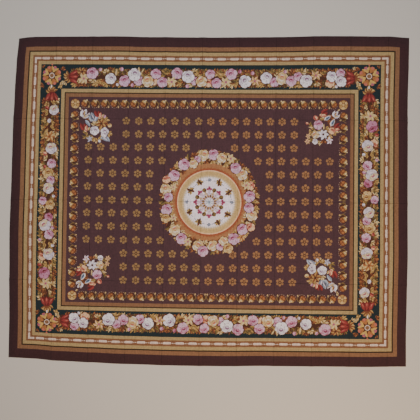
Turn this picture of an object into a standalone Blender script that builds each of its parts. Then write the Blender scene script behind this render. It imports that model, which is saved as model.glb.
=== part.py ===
"""Aubusson rug: one flat, hand-woven tapestry sheet that lies on a floor.

Units are metres, +Z is up and the floor is z = 0. The rug's long way runs along X. The sheet keeps
one thickness all over. Its outline wanders a little, because it was woven and hemmed by hand, and
it still shows the low ridges where it was folded for storage.
"""
import math

import bmesh
import bpy

# Driving sizes
LENGTH = 3.682
WIDTH = 3.051
THICKNESS = 0.003

# Fold ridges that run along Y: x of the crest, height of the crest
FOLDS_ALONG_Y = (
    (-1.428, 0.0026),
    (-1.086, 0.0040),
    (-0.744, 0.0024),
    (-0.402, 0.0046),
    (-0.060, 0.0044),
    (0.282, 0.0022),
    (0.624, 0.0026),
    (0.966, 0.0046),
    (1.308, 0.0034),
    (1.650, 0.0024),
)
# Fold ridges that run along X: y of the crest, height of the crest
FOLDS_ALONG_X = (
    (-0.758, 0.0036),
    (-0.015, 0.0044),
    (0.745, 0.0040),
)
FOLD_HALF_WIDTH = 0.045
FOLD_SHOULDER = 0.018
FOLD_UNEVENNESS = 0.25
FOLD_WAVE = 2.3

# How far each edge stands in from the widest line of the rug: place along the edge, distance in
LEFT_EDGE = (
    (-1.526, 0.015), (-1.150, 0.015), (-0.750, 0.007), (-0.300, 0.000), (0.150, 0.008),
    (0.600, 0.012), (1.000, 0.024), (1.300, 0.036), (1.526, 0.055),
)
RIGHT_EDGE = (
    (-1.526, 0.020), (-1.250, 0.021), (-0.900, 0.015), (-0.500, 0.007), (0.000, 0.010),
    (0.500, 0.010), (0.900, 0.012), (1.300, 0.003), (1.526, 0.000),
)
TOP_EDGE = (
    (-1.841, 0.027), (-1.690, 0.010), (-1.120, 0.007), (-0.840, 0.005), (-0.560, 0.012),
    (0.000, 0.015), (0.560, 0.011), (1.110, 0.000), (1.660, 0.003), (1.841, 0.016),
)
BOTTOM_EDGE = (
    (-1.841, 0.047), (-1.630, 0.041), (-1.350, 0.023), (-1.070, 0.015), (-0.790, 0.006),
    (-0.240, 0.000), (0.100, 0.002), (0.590, 0.013), (1.400, 0.020), (1.841, 0.031),
)
EDGE_REACH = 0.55
LONGEST_CELL = 0.20

WOOL_COLOUR = (0.085, 0.055, 0.050, 1.0)
WOOL_ROUGHNESS = 0.9


def clear_scene():
    for old in list(bpy.data.objects):
        bpy.data.objects.remove(old, do_unlink=True)


def ease(share):
    """Soft step from 0 to 1."""
    share = min(max(share, 0.0), 1.0)
    return share * share * (3.0 - 2.0 * share)


def stand_in(edge, place):
    """Distance that an edge stands in at one place along it, read smoothly from its table."""
    for (start, first), (end, second) in zip(edge, edge[1:]):
        if place <= end:
            return first + (second - first) * ease((place - start) / (end - start))
    return edge[-1][1]


def laid_plan(u, v):
    """Point of the even rectangle moved to where the uneven rug has it."""
    side = LEFT_EDGE if u < 0.0 else RIGHT_EDGE
    end = BOTTOM_EDGE if v < 0.0 else TOP_EDGE
    near_side = max(0.0, 1.0 - (LENGTH / 2 - abs(u)) / EDGE_REACH)
    near_end = max(0.0, 1.0 - (WIDTH / 2 - abs(v)) / EDGE_REACH)
    x = u - math.copysign(stand_in(side, v) * near_side, u)
    y = v - math.copysign(stand_in(end, u) * near_end, v)
    return x, y


def ridge(place, along, folds):
    """Lift of the sheet over the nearest fold of one direction, uneven along the fold."""
    lift = 0.0
    for number, (crest, height) in enumerate(folds):
        nearness = ease(1.0 - abs(place - crest) / FOLD_HALF_WIDTH)
        swing = 1.0 + FOLD_UNEVENNESS * math.sin(FOLD_WAVE * along + number)
        lift = max(lift, height * swing * nearness)
    return lift


def underside_height(u, v):
    """Height of the sheet's underside over the floor, zero between the folds."""
    return math.hypot(ridge(u, v, FOLDS_ALONG_Y), ridge(v, u, FOLDS_ALONG_X))


def stations(half_size, folds, edges):
    """Grid lines in one direction: both ends, each fold's feet, shoulders and crest, each edge point."""
    places = [-half_size, half_size]
    for crest, _ in folds:
        for step in (-FOLD_HALF_WIDTH, -FOLD_SHOULDER, 0.0, FOLD_SHOULDER, FOLD_HALF_WIDTH):
            places.append(crest + step)
    for edge in edges:
        for place, _ in edge[1:-1]:
            in_a_fold = any(abs(place - crest) <= FOLD_HALF_WIDTH for crest, _ in folds)
            if not in_a_fold:
                places.append(place)
    places.sort()
    lines = [places[0]]
    for place in places[1:]:
        gap = place - lines[-1]
        cells = max(1, math.ceil(gap / LONGEST_CELL))
        start = lines[-1]
        lines.extend(start + gap * cell / cells for cell in range(1, cells + 1))
    return lines


def woven_sheet():
    """The whole rug: a grid laid over the folds, then thickened straight up."""
    columns = stations(LENGTH / 2, FOLDS_ALONG_Y, (TOP_EDGE, BOTTOM_EDGE))
    rows = stations(WIDTH / 2, FOLDS_ALONG_X, (LEFT_EDGE, RIGHT_EDGE))
    sheet = bmesh.new()
    grid = []
    for v in rows:
        grid.append([sheet.verts.new((*laid_plan(u, v), underside_height(u, v))) for u in columns])
    for lower, upper in zip(grid, grid[1:]):
        for a, b, c, d in zip(lower, lower[1:], upper[1:], upper):
            sheet.faces.new((a, b, c, d))
    raised = bmesh.ops.extrude_face_region(sheet, geom=sheet.faces[:])["geom"]
    top = [item for item in raised if isinstance(item, bmesh.types.BMVert)]
    bmesh.ops.translate(sheet, verts=top, vec=(0.0, 0.0, THICKNESS))
    bmesh.ops.recalc_face_normals(sheet, faces=sheet.faces[:])
    return sheet


def centre_on_origin(sheet):
    """Move the sheet so that the box around its outline is centred on the origin."""
    for axis in (0, 1):
        places = [vertex.co[axis] for vertex in sheet.verts]
        middle = (min(places) + max(places)) / 2
        for vertex in sheet.verts:
            vertex.co[axis] -= middle


def wool():
    material = bpy.data.materials.new("woven_wool")
    material.use_nodes = True
    shader = material.node_tree.nodes["Principled BSDF"]
    shader.inputs["Base Color"].default_value = WOOL_COLOUR
    shader.inputs["Roughness"].default_value = WOOL_ROUGHNESS
    shader.inputs["Metallic"].default_value = 0.0
    return material


def build_rug():
    sheet = woven_sheet()
    centre_on_origin(sheet)
    mesh = bpy.data.meshes.new("rug")
    sheet.to_mesh(mesh)
    sheet.free()
    mesh.materials.append(wool())
    rug = bpy.data.objects.new("rug", mesh)
    bpy.context.scene.collection.objects.link(rug)
    return rug


clear_scene()
build_rug()
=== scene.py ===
# %% [markdown]
# # An Aubusson rug, from the weaver's drawing to the laid cloth
# A rug of this kind is one flat tapestry. Every band, rose and leaf is woven into the same cloth with
# wool of another colour, so nothing is raised and nothing is sewn on. This lesson works the same way:
# it draws a full-size pattern out of closed outlines, lets Blender divide the flat cloth along them,
# gives each area its wool, and then lays the cloth on the floor with the folds it was stored in.

# %% Load the frame
import math
import random

import bmesh
import bpy
import numpy as np
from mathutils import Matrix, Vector
from mathutils.bvhtree import BVHTree
from mathutils.geometry import delaunay_2d_cdt


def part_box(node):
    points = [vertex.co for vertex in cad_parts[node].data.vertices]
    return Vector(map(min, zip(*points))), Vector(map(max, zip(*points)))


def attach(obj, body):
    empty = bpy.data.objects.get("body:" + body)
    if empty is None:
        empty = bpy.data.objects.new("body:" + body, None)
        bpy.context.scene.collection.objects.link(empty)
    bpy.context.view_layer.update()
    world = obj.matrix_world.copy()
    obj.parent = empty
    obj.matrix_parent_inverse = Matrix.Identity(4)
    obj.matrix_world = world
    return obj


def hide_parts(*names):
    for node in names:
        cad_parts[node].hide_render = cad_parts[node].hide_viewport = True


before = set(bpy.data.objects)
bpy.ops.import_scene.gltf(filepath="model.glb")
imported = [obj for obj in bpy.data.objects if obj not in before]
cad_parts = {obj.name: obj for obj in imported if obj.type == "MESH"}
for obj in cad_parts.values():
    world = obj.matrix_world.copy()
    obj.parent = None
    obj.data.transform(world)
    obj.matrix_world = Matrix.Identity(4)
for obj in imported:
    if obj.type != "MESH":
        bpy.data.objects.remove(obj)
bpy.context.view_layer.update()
rug_low, rug_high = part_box("rug")
print("the solid rug reaches from", [round(v, 3) for v in rug_low], "to", [round(v, 3) for v in rug_high])

# %% [markdown]
# ## Sizes
# The rug is about 3.7 by 3.05 m. Two half sizes come from the solid rug; all the rest is measured
# inwards from the edge, as a weaver would mark the warp. The narrow bands have the same width all
# round. Only the plain outer band and the green garland band are wider along the two long edges.

# %% Band widths
HALF_LENGTH = rug_high[0]
HALF_WIDTH = rug_high[1]
THICKNESS = 0.003

# yarn, width at the short edges, width at the long edges
BANDS = (
    ("claret", 0.085, 0.095),
    ("tan", 0.038, 0.038),
    ("bistre", 0.012, 0.012),
    ("old gold", 0.032, 0.032),
    ("cocoa", 0.056, 0.056),
    ("old gold", 0.030, 0.030),
    ("bottle green", 0.2075, 0.2325),
    ("old gold", 0.033, 0.033),
    ("bistre", 0.010, 0.010),
    ("tan", 0.0325, 0.0325),
)
PEARL_BAND = 4
GARLAND_BAND = 6


def band_edges():
    """Half length and half width of each band's outer edge, then of the field inside them all."""
    edges = [(HALF_LENGTH, HALF_WIDTH)]
    for _, at_short, at_long in BANDS:
        x, y = edges[-1]
        edges.append((x - at_short, y - at_long))
    return edges


EDGES = band_edges()
FIELD_X, FIELD_Y = EDGES[-1]
print("the plum field is", round(2 * FIELD_X, 3), "by", round(2 * FIELD_Y, 3), "m")


def middle_of_band(number):
    """Half length and half width of the line that runs along the middle of a band."""
    (outer_x, outer_y), (inner_x, inner_y) = EDGES[number], EDGES[number + 1]
    return (outer_x + inner_x) / 2, (outer_y + inner_y) / 2


# %% [markdown]
# ## How the cloth lies
# The pattern is drawn on an even rectangle. The real cloth is not even: its edges wander by a few
# centimetres, and most of that fades out within half a metre of the edge. It was also stored folded,
# so low ridges cross it. The same two short sets of tables as in the solid rug say where. One function
# takes a point of the even drawing to its place on the floor, so every outline follows the cloth.

# %% Edges that wander
# place along the edge, distance that the edge stands in from the widest line of the rug
LEFT_EDGE = (
    (-1.526, 0.015), (-1.150, 0.015), (-0.750, 0.007), (-0.300, 0.000), (0.150, 0.008),
    (0.600, 0.012), (1.000, 0.024), (1.300, 0.036), (1.526, 0.055),
)
RIGHT_EDGE = (
    (-1.526, 0.020), (-1.250, 0.021), (-0.900, 0.015), (-0.500, 0.007), (0.000, 0.010),
    (0.500, 0.010), (0.900, 0.012), (1.300, 0.003), (1.526, 0.000),
)
TOP_EDGE = (
    (-1.841, 0.027), (-1.690, 0.010), (-1.120, 0.007), (-0.840, 0.005), (-0.560, 0.012),
    (0.000, 0.015), (0.560, 0.011), (1.110, 0.000), (1.660, 0.003), (1.841, 0.016),
)
BOTTOM_EDGE = (
    (-1.841, 0.047), (-1.630, 0.041), (-1.350, 0.023), (-1.070, 0.015), (-0.790, 0.006),
    (-0.240, 0.000), (0.100, 0.002), (0.590, 0.013), (1.400, 0.020), (1.841, 0.031),
)
# how far in from the edge this is felt, and how far the rows of the pattern sag in the middle
EDGE_REACH = 0.55
ROW_BOW = 0.012


def ease(share):
    """Soft step from 0 to 1."""
    share = min(max(share, 0.0), 1.0)
    return share * share * (3.0 - 2.0 * share)


def stand_in(edge, place):
    """Distance that an edge stands in at one place along it, read smoothly from its table."""
    for (start, first), (end, second) in zip(edge, edge[1:]):
        if place <= end:
            return first + (second - first) * ease((place - start) / (end - start))
    return edge[-1][1]


def laid_plan(u, v):
    """Point of the even drawing moved to where the uneven cloth has it, seen from above."""
    side = LEFT_EDGE if u < 0.0 else RIGHT_EDGE
    end = BOTTOM_EDGE if v < 0.0 else TOP_EDGE
    near_side = max(0.0, 1.0 - (HALF_LENGTH - abs(u)) / EDGE_REACH)
    near_end = max(0.0, 1.0 - (HALF_WIDTH - abs(v)) / EDGE_REACH)
    x = u - math.copysign(stand_in(side, v) * near_side, u)
    y = v - math.copysign(stand_in(end, u) * near_end, v)
    bow = max(0.0, 1.0 - (u / HALF_LENGTH) ** 2) * max(0.0, 1.0 - (v / HALF_WIDTH) ** 2)
    return x, y - ROW_BOW * bow


# %% Folds from storage
# place of the crest, height of the crest
FOLDS_ALONG_Y = (
    (-1.428, 0.0026), (-1.086, 0.0040), (-0.744, 0.0024), (-0.402, 0.0046), (-0.060, 0.0044),
    (0.282, 0.0022), (0.624, 0.0026), (0.966, 0.0046), (1.308, 0.0034), (1.650, 0.0024),
)
FOLDS_ALONG_X = ((-0.758, 0.0036), (-0.015, 0.0044), (0.745, 0.0040))
FOLD_HALF_WIDTH = 0.045
FOLD_UNEVENNESS = 0.25
FOLD_WAVE = 2.3


def ridge(place, along, folds):
    """Lift of the cloth over the nearest fold of one direction, uneven along the fold."""
    lift = 0.0
    for number, (crest, height) in enumerate(folds):
        nearness = ease(1.0 - abs(place - crest) / FOLD_HALF_WIDTH)
        swing = 1.0 + FOLD_UNEVENNESS * math.sin(FOLD_WAVE * along + number)
        lift = max(lift, height * swing * nearness)
    return lift


def laid_point(u, v):
    """Point of the even drawing on the underside of the cloth as it lies on the floor."""
    x, y = laid_plan(u, v)
    return Vector((x, y, math.hypot(ridge(u, v, FOLDS_ALONG_Y), ridge(v, u, FOLDS_ALONG_X))))


print("the cloth rises", round(1000 * laid_point(-0.402, 0.5).z, 1), "mm over its highest ridges")

# %% [markdown]
# ## The wool
# A rug like this is woven from more than forty dyed wools. Each gets a plain name and one colour, given as
# it would look on a screen, 0 to 255. A flower uses three to five of them next to each other, because
# a weaver shades with steps, not with blends.

# %% Dyed wools
WOOLS = {
    "claret": (62, 37, 40),
    "tan": (131, 94, 68),
    "bistre": (44, 31, 20),
    "old gold": (167, 142, 99),
    "cocoa": (124, 84, 58),
    "pearl": (214, 192, 180),
    "pearl shade": (176, 146, 130),
    "bottle green": (30, 42, 46),
    "plum": (75, 50, 55),
    "copper": (160, 110, 74),
    "brick": (150, 76, 52),
    "peach": (224, 182, 144),
    "straw": (198, 170, 122),
    "ring gold": (192, 160, 108),
    "russet": (150, 90, 58),
    "pale straw": (204, 180, 146),
    "ivory": (224, 212, 210),
    "white": (228, 221, 228),
    "chalk": (202, 191, 204),
    "lilac": (196, 172, 190),
    "pale pink": (206, 168, 190),
    "pink": (182, 126, 152),
    "mauve": (126, 88, 116),
    "dusk": (154, 134, 142),
    "rose": (160, 88, 114),
    "cerise": (156, 66, 98),
    "deep rose": (128, 52, 78),
    "coral": (184, 106, 92),
    "red": (143, 58, 55),
    "dark red": (104, 38, 38),
    "cream": (208, 186, 146),
    "primrose": (198, 166, 114),
    "corner yellow": (196, 160, 92),
    "gold": (174, 138, 84),
    "orange": (163, 106, 62),
    "rust": (120, 70, 47),
    "umber": (74, 44, 33),
    "olive": (128, 102, 60),
    "moss": (82, 70, 46),
    "sprig gold": (144, 112, 74),
    "sprig copper": (150, 108, 72),
    "disc ivory": (242, 228, 236),
    "blue grey": (128, 136, 154),
    "blue": (90, 120, 156),
    "sky": (170, 176, 188),
    "slate": (80, 84, 100),
}
WOOL_NUMBER = {name: number for number, name in enumerate(WOOLS)}
WOOL_NAMES = list(WOOLS)


def linear(channel):
    """One screen colour channel, 0 to 255, as light."""
    share = channel / 255
    return share / 12.92 if share <= 0.04045 else ((share + 0.055) / 1.055) ** 2.4


WOOL_COLOURS = np.array([[linear(c) for c in rgb] + [1.0] for rgb in WOOLS.values()])
print(len(WOOLS), "wools on the shelf")

# %% [markdown]
# ## Outlines
# Everything in the drawing is a closed outline with one wool. The few helpers below make the outlines
# that a floral pattern needs: a lobed ring for a flower, a petal, a leaf cut in two along its vein, and
# a bent strip for a stem. A motif is a list of (wool, points) in painting order, at unit size and
# centred on nothing but itself, so it can be placed anywhere, turned, and scaled.

# %% Outline helpers
TURN = 2 * math.pi
LOBE_FULLNESS = 0.7


def polar(radius, angle):
    """Place at this distance and angle from the middle."""
    return radius * math.cos(angle), radius * math.sin(angle)


def disc(radius, corners, x=0.0, y=0.0):
    """A round patch with a few corners."""
    ring = (polar(radius, TURN * k / corners) for k in range(corners))
    return [(x + px, y + py) for px, py in ring]


def lobed(lobes, outer, inner, start, per_lobe):
    """A ring of round lobes, like the outer line of a full flower."""
    points = []
    for k in range(lobes * per_lobe):
        share = k / per_lobe
        bulge = abs(math.sin(math.pi * share)) ** LOBE_FULLNESS
        points.append(polar(inner + (outer - inner) * bulge, start + TURN * share / lobes))
    return points


def petal(angle, inner, outer, spread):
    """A petal that widens outwards from the ring inner to the ring outer."""
    half = [(inner, 0.45), (0.35 * inner + 0.65 * outer, 1.0), (outer * 0.95, 0.72), (outer, 0.25)]
    shape = [(radius, -side) for radius, side in half] + half[::-1]
    return [polar(radius, angle + side * spread) for radius, side in shape]


def crescent(radius, thickness, start, end, steps, x=0.0, y=0.0):
    """A thin moon along a ring, from one angle to another."""
    points = []
    for k in range(steps + 1):
        px, py = polar(radius, start + (end - start) * k / steps)
        points.append((x + px, y + py))
    for k in range(steps - 1, 0, -1):
        share = k / steps
        depth = thickness * math.sin(math.pi * share)
        px, py = polar(radius - depth, start + (end - start) * share)
        points.append((x + px, y + py))
    return points


def leaf(light, dark, length, width, bend=0.12):
    """A leaf from the origin along +X, in two wools divided by its vein."""
    swell = (0.0, 1.0, 0.78, 0.0)
    vein = [(length * s, length * bend * math.sin(math.pi * s)) for s in (0.0, 0.3, 0.72, 1.0)]
    upper = [(x, y + width / 2 * w) for (x, y), w in zip(vein, swell)]
    lower = [(x, y - width / 2 * w) for (x, y), w in zip(vein, swell)]
    return [(light, upper + vein[-2:0:-1]), (dark, vein + lower[-2:0:-1])]


def strip(wool, path, width):
    """A stem: a bent strip of even width along a few points."""
    left, right = [], []
    for k, (x, y) in enumerate(path):
        ahead, behind = path[min(k + 1, len(path) - 1)], path[max(k - 1, 0)]
        dx, dy = ahead[0] - behind[0], ahead[1] - behind[1]
        long = math.hypot(dx, dy)
        left.append((x - dy / long * width / 2, y + dx / long * width / 2))
        right.append((x + dy / long * width / 2, y - dx / long * width / 2))
    return [(wool, left + right[::-1])]


def placed(motif, x=0.0, y=0.0, size=1.0, turn=0.0, flip=1.0):
    """The motif scaled, turned by degrees, and moved. A flip of -1 mirrors it first."""
    c, s = math.cos(math.radians(turn)), math.sin(math.radians(turn))
    moved = []
    for wool, points in motif:
        moved.append((wool, [(x + size * (px * c - flip * py * s), y + size * (px * s + flip * py * c))
                             for px, py in points]))
    return moved


def leaves(*rows):
    """Leaves over each other: light wool, dark wool, length, width, bend, x, y, degrees."""
    motif = []
    for light, dark, length, width, bend, x, y, turn in rows:
        motif += placed(leaf(light, dark, length, width, bend), x, y, turn=turn)
    return motif


# %% [markdown]
# ## Flowers and leaves
# The garlands mix a few kinds: full roses, open lilies with pointed petals, tulips, buds and sprays of
# leaves. Each kind is one function that takes its wools, so a white, a pink and a golden rose share one
# drawing. A seeded random turn keeps two roses from being twins, as on the loom.

# %% Flower motifs
# rim, petals, light petals, inner shade, heart
ROSE_WOOLS = {
    "white": ("white", "chalk", "white", "dusk", "mauve"),
    "ivory": ("ivory", "cream", "chalk", "dusk", "rose"),
    "red": ("coral", "red", "coral", "dark red", "dark red"),
    "pink": ("lilac", "pink", "pale pink", "rose", "deep rose"),
    "rose": ("pink", "rose", "pink", "deep rose", "dark red"),
    "cream": ("ivory", "primrose", "cream", "orange", "coral"),
    "gold": ("cream", "gold", "primrose", "rust", "rust"),
    "coral": ("peach", "coral", "peach", "red", "dark red"),
    "peach": ("peach", "coral", "peach", "orange", "rust"),
}


def rose(kind, seed):
    """A full rose seen a little from the front: outer petals, then a cup with its dark heart on top."""
    rim, petals, light, shade, heart = ROSE_WOOLS[kind]
    chance = random.Random(seed)
    start = chance.uniform(0, TURN)
    half = math.pi / 5
    motif = [("umber", disc(1.10, 12)), (shade, disc(0.98, 12))]
    for k in range(5):
        angle = start + 2 * k * half
        reach = chance.uniform(0.96, 1.06)
        face, tip = (light, rim) if math.sin(angle) < 0.3 else (petals, light)
        motif.append((shade, petal(angle + 0.13, 0.30, reach, half * 1.10)))
        motif.append((face, petal(angle, 0.30, reach, half * 1.04)))
        motif.append((tip, crescent(reach, 0.18, angle - 0.6 * half, angle + 0.6 * half, 3)))
    cup = [(shade, disc(0.60, 10)), (petals, disc(0.54, 10, 0.0, 0.03)),
           (light, crescent(0.56, 0.50, math.radians(190), math.radians(350), 5)),
           (rim, crescent(0.58, 0.20, math.radians(205), math.radians(320), 4)),
           (rim, crescent(0.56, 0.14, math.radians(40), math.radians(140), 3)),
           (heart, crescent(0.34, 0.30, math.radians(-20), math.radians(215), 4, 0.0, 0.06)),
           (shade, crescent(0.30, 0.14, math.radians(200), math.radians(330), 3, 0.0, 0.02))]
    motif += placed(cup, chance.uniform(-0.16, 0.16), chance.uniform(0.06, 0.20))
    return placed(motif, turn=chance.uniform(-40, 40))


def lily(wools, seed, petals=6):
    """An open flower of pointed petals, each in a light and a dark half, round a small eye."""
    light, dark, eye = wools
    chance = random.Random(seed)
    motif = []
    for k in range(petals):
        turn = 360 * k / petals + chance.uniform(-9, 9)
        length = chance.uniform(0.85, 1.08)
        motif += placed(leaf(light, dark, length, 0.52, 0.1), turn=turn)
    motif.append((eye, disc(0.2, 8)))
    return motif


def bud(kind, seed):
    """A half-open bud that points along +X from its calyx."""
    _, petals, light, shade, _ = ROSE_WOOLS[kind]
    lean = random.Random(seed).uniform(-0.1, 0.1)
    motif = placed(leaf("rust", "umber", 0.9, 0.35), turn=28)
    motif += placed(leaf("gold", "rust", 0.9, 0.35), turn=-28)
    motif.append((petals, [(0.0, 0.0), (0.3, 0.5), (0.8, 0.62), (1.25, 0.32 + lean), (1.4, lean),
                           (1.2, -0.38), (0.75, -0.6), (0.28, -0.48)]))
    motif.append((light, [(0.15, -0.1), (0.5, -0.45), (0.95, -0.4), (1.2, -0.1), (0.8, 0.05)]))
    motif.append((shade, [(0.35, 0.12), (0.8, 0.2), (1.15, 0.22), (0.8, 0.42), (0.45, 0.38)]))
    return motif


def leaf_spray(wools, seed, count=4, fan=160, width=0.46):
    """A few leaves that fan out along +X."""
    chance = random.Random(seed)
    motif = []
    for k in range(count):
        turn = fan * ((k + 0.5) / count - 0.5) + chance.uniform(-10, 10)
        light, dark = wools[k % len(wools)]
        motif += placed(leaf(light, dark, chance.uniform(0.75, 1.1), width), turn=turn)
    return motif


def tulip(red, dark, light):
    """A broad crown of three lobes that opens along +X, out of a golden calyx."""
    motif = []
    for turn in (118, 150, 180, 210, 242):
        motif += placed(leaf("primrose" if turn == 180 else "gold", "rust", 1.05, 0.44), x=0.15, turn=turn)
    return motif + [
        (dark, [(0.0, -0.3), (0.3, -0.72), (0.75, -0.92), (1.3, -1.05), (1.12, -0.62), (1.34, -0.34),
                (1.14, -0.1), (1.36, 0.08), (1.14, 0.3), (1.34, 0.6), (1.14, 0.74), (1.3, 1.05),
                (0.75, 0.92), (0.3, 0.72), (0.0, 0.3)]),
        (red, [(0.12, -0.3), (0.4, -0.68), (0.8, -0.84), (1.22, -0.98), (1.0, -0.5), (0.6, -0.25)]),
        (red, [(0.1, 0.1), (0.5, -0.17), (1.0, -0.2), (1.28, 0.05), (1.0, 0.27), (0.5, 0.24)]),
        (red, [(0.12, 0.32), (0.6, 0.36), (1.05, 0.62), (1.22, 0.98), (0.8, 0.84), (0.4, 0.68)]),
        (light, [(0.5, -0.5), (0.85, -0.7), (1.1, -0.84), (0.9, -0.55)]),
        (light, [(0.6, 0.04), (0.95, -0.06), (1.14, 0.06), (0.9, 0.14)]),
        (light, [(0.5, 0.5), (0.9, 0.58), (1.1, 0.84), (0.8, 0.7)]),
    ]


LEAF_WOOLS = {
    "rust": (("orange", "rust"), ("rust", "umber")),
    "gold": (("primrose", "gold"), ("gold", "olive")),
    "cream": (("cream", "primrose"), ("cream", "olive")),
    "olive": (("olive", "moss"), ("gold", "olive")),
    "brown": (("rust", "umber"), ("olive", "moss")),
}
LILY_WOOLS = {
    "cream lily": ("cream", "primrose", "rose"),
    "gold lily": ("primrose", "orange", "rust"),
    "peach lily": ("peach", "gold", "rose"),
    "orange lily": ("gold", "rust", "umber"),
}


def garland_piece(kind, seed):
    """One flower or spray of a garland by its name in a table."""
    colour, _, form = kind.partition(" ")
    if form == "bud":
        return bud(colour, seed)
    if form == "leaves":
        return leaf_spray(LEAF_WOOLS[colour], seed)
    if form == "blade":
        light, dark = LEAF_WOOLS[colour][0]
        return placed(leaf(light, dark, 2.0, 0.5, 0.05), x=-1.0)
    if form == "lily":
        return lily(LILY_WOOLS[kind], seed)
    if kind == "red tulip":
        return placed(tulip("red", "dark red", "coral"), x=-0.5)
    return rose(colour, seed)


print("a white rose is", len(rose("white", 1)), "outlines")

# %% [markdown]
# ## Repeats
# Six small drawings are woven again and again: the two little field flowers, the reel with its beads,
# the acorn head of the inner border, and the medallion's bud and palmette. A Geometry Nodes tree copies
# each one to its places, because that is what the loom does too: the same few rows are counted out anew.

# %% Small repeated drawings
def field_flower(petals, light, dark):
    """A little field flower of plump petals, with a dark gap between them and a pierced heart."""
    motif = []
    for k in range(petals):
        angle = math.pi / 2 + TURN * k / petals
        wide = 0.90 * math.pi / petals
        shape = ((0.24, 0.0), (0.62, -1.02), (0.97, -0.62), (1.0, 0.0), (0.97, 0.62), (0.62, 1.02))
        motif.append((light, [polar(radius, angle + side * wide) for radius, side in shape]))
    motif.append((dark, disc(0.40, 6)))
    motif.append((light, disc(0.26, 4)))
    return motif


def reel_with_beads():
    """One long pearl reel and the two round beads after it, at full size along X."""
    reel = [(-0.041, 0.0), (-0.038, 0.008), (-0.028, 0.0120), (0.028, 0.0120), (0.038, 0.008),
            (0.041, 0.0), (0.038, -0.008), (0.028, -0.0120), (-0.028, -0.0120), (-0.038, -0.008)]
    shade = [(-0.038, -0.008), (-0.028, -0.0120), (0.028, -0.0120), (0.038, -0.008), (0.024, -0.006),
             (-0.024, -0.006)]
    return [("pearl", reel), ("pearl shade", shade), ("dark red", disc(0.0030, 4, 0.0445)),
            ("pearl", disc(0.0056, 6, 0.0510)), ("pearl", disc(0.0056, 6, 0.0670)),
            ("dark red", disc(0.0030, 4, 0.0740))]


def acorn_head():
    """The round head with its broken pale rim, an olive leaf, a knob, a cream tip and two bent stems."""
    motif = strip("moss", [(0.1, 0.8), (0.62, 0.72), (0.95, 0.3), (0.72, -0.2), (0.98, -0.62)], 0.13)
    motif += placed(leaf("olive", "umber", 1.2, 0.40, 0.25), 0.40, 0.72, 1.0, -66)
    motif.append(("primrose", [(0.72, -0.42), (0.96, -0.40), (1.10, -0.66), (0.94, -0.94), (0.76, -0.80)]))
    motif += [
        ("umber", disc(0.92, 10, -0.10)),
        ("rust", [(-0.92, 0.36), (-0.90, -0.16), (-0.56, -0.58), (-0.04, -0.70), (0.38, -0.44),
                  (0.34, 0.02), (-0.10, 0.30), (-0.52, 0.58)]),
        ("orange", [(-0.76, 0.32), (-0.72, -0.12), (-0.44, -0.30), (-0.24, -0.06), (-0.42, 0.34)]),
        ("orange", [(-0.26, -0.34), (0.02, -0.54), (0.24, -0.36), (0.04, -0.12)]),
        ("gold", [(-0.60, 0.66), (-0.30, 0.94), (0.18, 0.92), (0.52, 0.56), (0.58, 0.06), (0.42, -0.18),
                  (0.10, 0.16), (-0.28, 0.44)]),
        ("cream", [(-0.22, 0.78), (0.04, 0.82), (0.26, 0.58), (0.30, 0.32), (0.02, 0.50)]),
        ("umber", [(0.50, 0.44), (0.60, 0.10), (0.44, -0.16), (0.36, 0.06)]),
    ]
    for angle in (196, 226, 256, 286, 316):
        start = math.radians(angle)
        motif.append(("pearl shade", crescent(0.98, 0.13, start, start + 0.36, 3)))
    motif += strip("olive", [(0.55, -0.85), (1.0, -0.40), (1.25, 0.2), (1.6, 0.7)], 0.10)
    motif.append(("cream", [(0.30, 0.98), (0.50, 1.02), (0.60, 0.82), (0.46, 0.66), (0.26, 0.74)]))
    return motif


def round_bud():
    """The medallion's green-brown bud, with a brown cap and a short stalk."""
    return [("umber", disc(1.0, 10)), ("olive", disc(0.72, 8, 0.1, 0.1)),
            ("moss", disc(0.34, 6, -0.2, -0.2)),
            ("gold", [(-1.25, -0.28), (-0.8, -0.5), (-0.8, 0.5), (-1.25, 0.28)])]


def palmette():
    """The medallion's pink palmette: three round tips over a pale cup, pointing along +X."""
    return [("cerise", disc(0.46, 8, 0.66)), ("cerise", disc(0.42, 7, 0.12, 0.58)),
            ("cerise", disc(0.42, 7, 0.12, -0.58)), ("deep rose", disc(0.34, 6, 0.26)),
            ("pink", disc(0.56, 8, -0.50)), ("white", disc(0.36, 6, -0.58)),
            ("deep rose", disc(0.16, 4, -0.58))]


# %% A node tree that copies a drawing to its places
def plug(made, *values, **named):
    """Give a node's inputs their values or links, by order or by name."""
    inputs = list(zip(made.inputs, values))
    inputs += [(made.inputs[name.replace("_", " ")], value) for name, value in named.items()]
    for socket, value in inputs:
        source = getattr(value, "socket", value)
        if isinstance(source, bpy.types.NodeSocket):
            made.id_data.links.new(source, socket)
        else:
            socket.default_value = source
    return made


def node(tree, kind, settings=None, *values, **named):
    """Add a node: its type, then its settings, then the values or links of its inputs."""
    made = tree.nodes.new(kind)
    for name, value in (settings or {}).items():
        setattr(made, name, value)
    return plug(made, *values, **named)


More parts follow.
